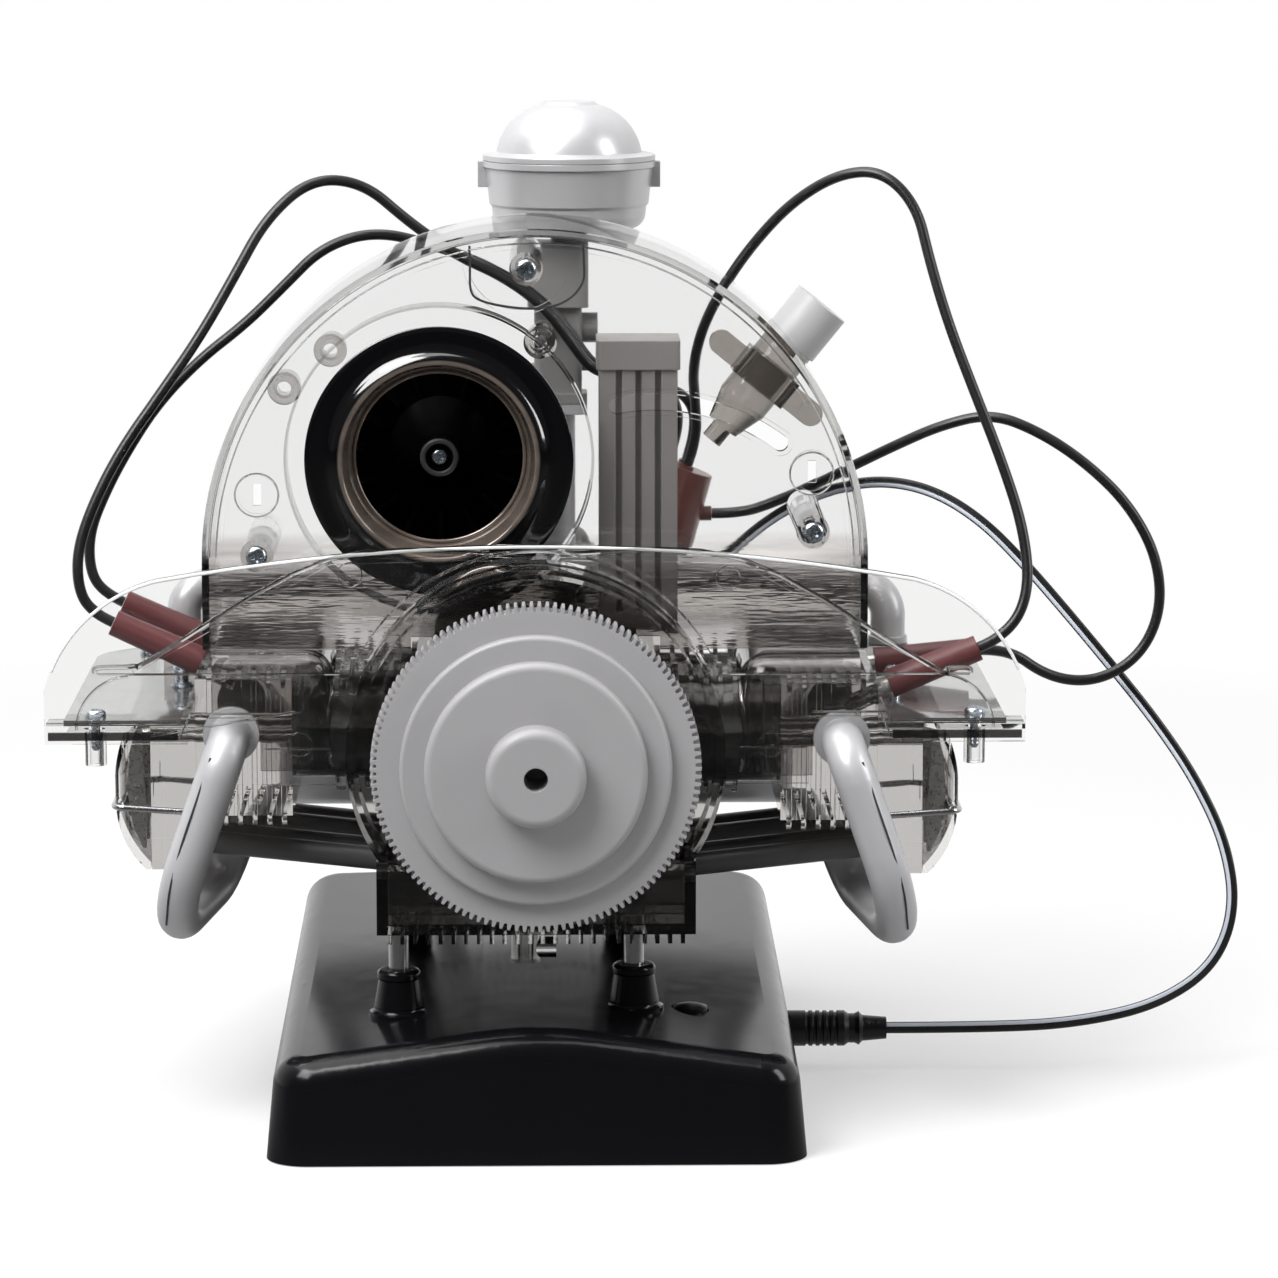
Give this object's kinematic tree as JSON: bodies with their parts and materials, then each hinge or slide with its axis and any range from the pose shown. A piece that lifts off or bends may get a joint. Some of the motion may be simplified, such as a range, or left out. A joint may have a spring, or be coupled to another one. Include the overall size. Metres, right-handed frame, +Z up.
{
  "type": "model engine",
  "caption": "Motorised see-through model of an air-cooled flat engine with fan shroud, flywheel and exhaust, on posts above a battery base.",
  "frame": {"origin": "centre of the base's underside, on the surface the model stands on", "axes": "+X across the engine along its cylinders, to the right seen from the flywheel; +Y from the flywheel towards the belt end; +Z up"},
  "size_m": [0.264, 0.1964, 0.2181],
  "materials": {
    "base_black": "glossy moulded",
    "base_matt": "fine texture",
    "battery_wrap": "printed film",
    "board_green": "solder mask",
    "socket_black": "moulded",
    "post_steel": "bright drawn",
    "smoke_clear": "clear smoke-tinted moulding",
    "fin_clear": "clear moulding",
    "sump_dark": "dark translucent moulding",
    "motor_steel": "satin",
    "valve_steel": "satin",
    "tube_grey": "satin",
    "boot_red": "satin",
    "clear": "water-clear moulding",
    "tin_grey": "translucent moulding",
    "ring_black": "glossy",
    "generator_grey": "satin",
    "belt_rubber": "matt",
    "cooler_grey": "satin",
    "carb_grey": "satin",
    "cleaner_silver": "silver moulding, satin",
    "pipe_silver": "silver moulding, satin",
    "cap_brown": "translucent",
    "coil_grey": "satin",
    "screw_zinc": "zinc plated",
    "lead_black": "satin",
    "cable_black": "satin",
    "crank_grey": "satin",
    "flywheel_grey": "satin",
    "pulley_grey": "satin",
    "rod_grey": "satin",
    "piston_grey": "satin",
    "fan_grey": "satin",
    "gear_white": "satin",
    "button_black": "glossy"
  },
  "bodies": {
    "stand": {"base_shell": "base_black", "base_plate": "base_matt", "battery_cover": "base_matt", "battery_cells": "battery_wrap", "control_board": "board_green", "power_socket": "socket_black", "support_posts": "post_steel", "crankcase_left": "smoke_clear", "crankcase_right": "smoke_clear", "sump_cover": "sump_dark", "drive_motor": "motor_steel", "cylinders": "fin_clear", "head_left": "smoke_clear", "head_right": "smoke_clear", "valve_covers": "smoke_clear", "cover_bails": "post_steel", "valve_gear": "valve_steel", "pushrod_tubes": "tube_grey", "spark_plugs": "valve_steel", "plug_boots": "boot_red", "cylinder_tins": "smoke_clear", "front_tin": "clear", "side_tins": "tin_grey", "shroud_front": "clear", "shroud_rear": "clear", "fan_inlet_ring": "ring_black", "generator_body": "generator_grey", "generator_stand": "generator_grey", "fan_belt": "belt_rubber", "oil_cooler": "cooler_grey", "carburettor": "carb_grey", "air_cleaner_bowl": "cleaner_silver", "air_cleaner_lid": "cleaner_silver", "intake_manifold": "pipe_silver", "distributor_body": "carb_grey", "distributor_cap": "cap_brown", "ignition_coil": "coil_grey", "fuel_pump": "carb_grey", "exhaust_pipes": "pipe_silver", "muffler": "pipe_silver", "screws": "screw_zinc", "lead_left_front": "lead_black", "lead_left_back": "lead_black", "lead_right_front": "lead_black", "lead_right_back": "lead_black", "power_cable": "cable_black", "power_plug": "socket_black"},
    "crank": {"crankshaft": "crank_grey", "flywheel": "flywheel_grey", "crank_pulley": "pulley_grey"},
    "cam": {"camshaft": "crank_grey"},
    "rods_outer": {"rods_outer": "rod_grey"},
    "rods_inner": {"rods_inner": "rod_grey"},
    "pistons_outer": {"pistons_outer": "piston_grey"},
    "pistons_inner": {"pistons_inner": "piston_grey"},
    "fan_drive": {"fan": "fan_grey", "generator_pulley": "pulley_grey"},
    "pinion": {"motor_pinion": "gear_white"},
    "button": {"start_button": "button_black"}
  },
  "joints": [
    {"name": "crank_spin", "type": "hinge", "parent": "stand", "child": "crank", "pos_m": [0, 0, 0.0847], "axis": [0, 1, 0], "continuous": true},
    {"name": "cam_spin", "type": "hinge", "parent": "stand", "child": "cam", "pos_m": [0, 0, 0.0637], "axis": [0, 1, 0], "continuous": true},
    {"name": "outer_rod_turn", "type": "hinge", "parent": "crank", "child": "rods_outer", "pos_m": [0.0065, 0, 0.0847], "axis": [0, 1, 0], "continuous": true},
    {"name": "inner_rod_turn", "type": "hinge", "parent": "crank", "child": "rods_inner", "pos_m": [-0.0065, 0, 0.0847], "axis": [0, 1, 0], "continuous": true},
    {"name": "fan_spin", "type": "hinge", "parent": "stand", "child": "fan_drive", "pos_m": [-0.0207, 0, 0.1444], "axis": [0, 1, 0], "continuous": true},
    {"name": "pinion_spin", "type": "hinge", "parent": "stand", "child": "pinion", "pos_m": [0.01681, 0, 0.05674], "axis": [0, 1, 0], "continuous": true},
    {"name": "outer_piston_slide", "type": "slide", "parent": "stand", "child": "pistons_outer", "axis": [1, 0, 0], "range_m": [-0.013, 0]},
    {"name": "inner_piston_slide", "type": "slide", "parent": "stand", "child": "pistons_inner", "axis": [1, 0, 0], "range_m": [0, 0.013]},
    {"name": "button_press", "type": "slide", "parent": "stand", "child": "button", "axis": [0, 0, 1], "range_m": [-0.001, 0], "stiffness_N_per_m": 300, "springref_m": 0.0005}
  ],
  "couplings": [
    {"joint": "cam_spin", "follows": "crank_spin", "ratio": -0.5},
    {"joint": "outer_rod_turn", "follows": "crank_spin", "ratio": -1},
    {"joint": "inner_rod_turn", "follows": "crank_spin", "ratio": -1},
    {"joint": "fan_spin", "follows": "crank_spin", "ratio": 1.7965},
    {"joint": "pinion_spin", "follows": "crank_spin", "ratio": 1.6667},
    {"joint": "inner_piston_slide", "follows": "outer_piston_slide", "ratio": -1}
  ]
}
